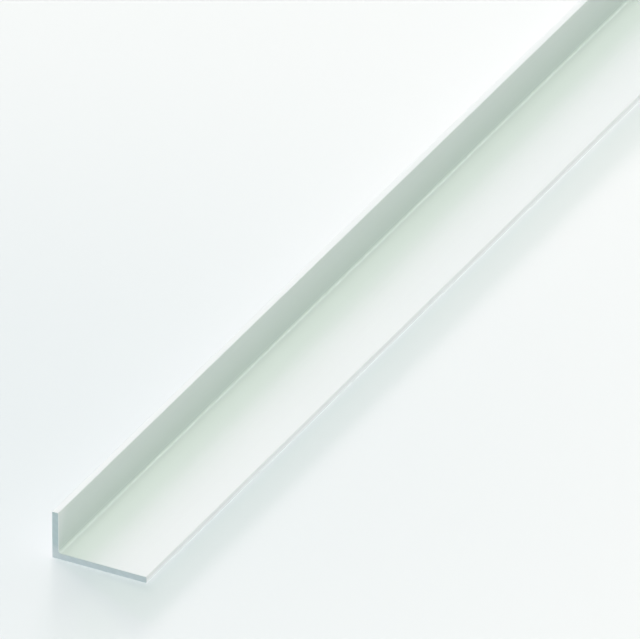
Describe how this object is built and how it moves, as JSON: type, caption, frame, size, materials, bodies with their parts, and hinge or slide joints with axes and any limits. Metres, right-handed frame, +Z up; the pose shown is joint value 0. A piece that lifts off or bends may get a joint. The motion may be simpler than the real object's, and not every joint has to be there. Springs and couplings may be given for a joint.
{
  "type": "pvc angle profile",
  "caption": "Straight length of white unequal-leg PVC angle, an L-shaped trim that covers and protects the edge or corner of a board, wall or frame.",
  "frame": {"origin": "middle of the wide leg's underside, halfway along the length", "axes": "+Y along the length, +Z up out of the flat underside, +X from the heel towards the wide leg's free edge; the short leg stands at the -X edge"},
  "size_m": [0.03, 1, 0.015],
  "materials": {
    "white_pvc": "satin"
  },
  "bodies": {
    "root": {"angle_profile": "white_pvc"}
  },
  "joints": []
}
